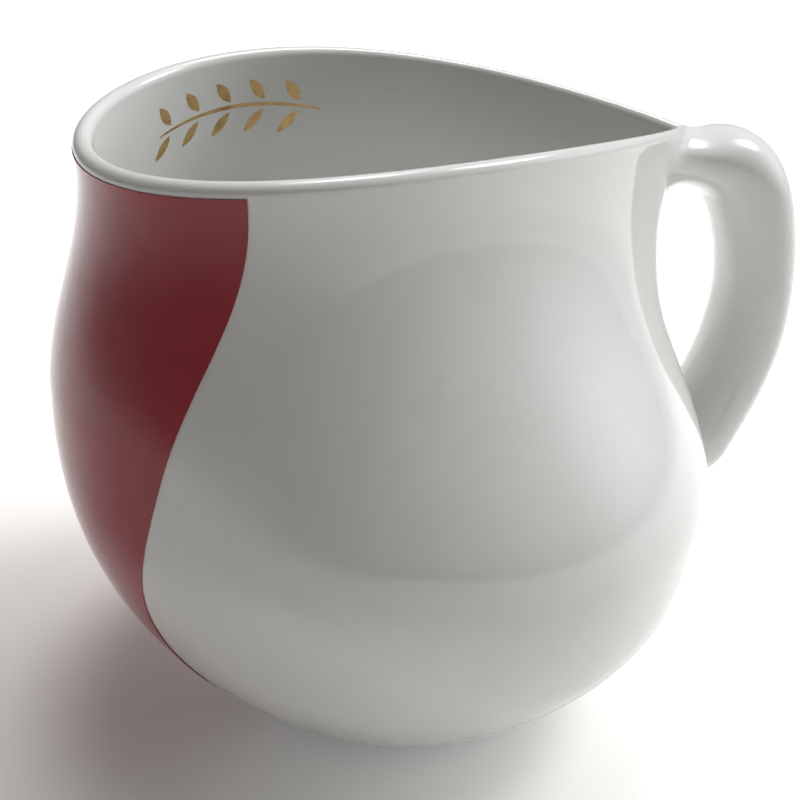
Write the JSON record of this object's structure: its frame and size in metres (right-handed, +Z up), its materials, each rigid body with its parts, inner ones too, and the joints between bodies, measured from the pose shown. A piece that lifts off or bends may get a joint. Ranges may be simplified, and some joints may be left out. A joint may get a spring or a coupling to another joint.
{
  "type": "porcelain mug",
  "caption": "Pot-bellied porcelain mug with a waved, drop-shaped mouth that runs into a strap handle, a red colour field outside and a gold sprig inside.",
  "frame": {"origin": "on the table under the middle of the foot ring", "axes": "+Z up, +X towards the handle, the XZ plane halves pot and handle"},
  "size_m": [0.1134, 0.0972, 0.093],
  "materials": {
    "porcelain": "gloss",
    "bare_porcelain": "matte",
    "red_enamel": "gloss",
    "gold": "polished"
  },
  "bodies": {
    "root": {"body": "porcelain", "foot_ring": "bare_porcelain", "handle": "porcelain", "upper_slip": "porcelain", "lower_slip": "porcelain", "red_enamel": "red_enamel", "gold_sprig": "gold"}
  },
  "joints": []
}
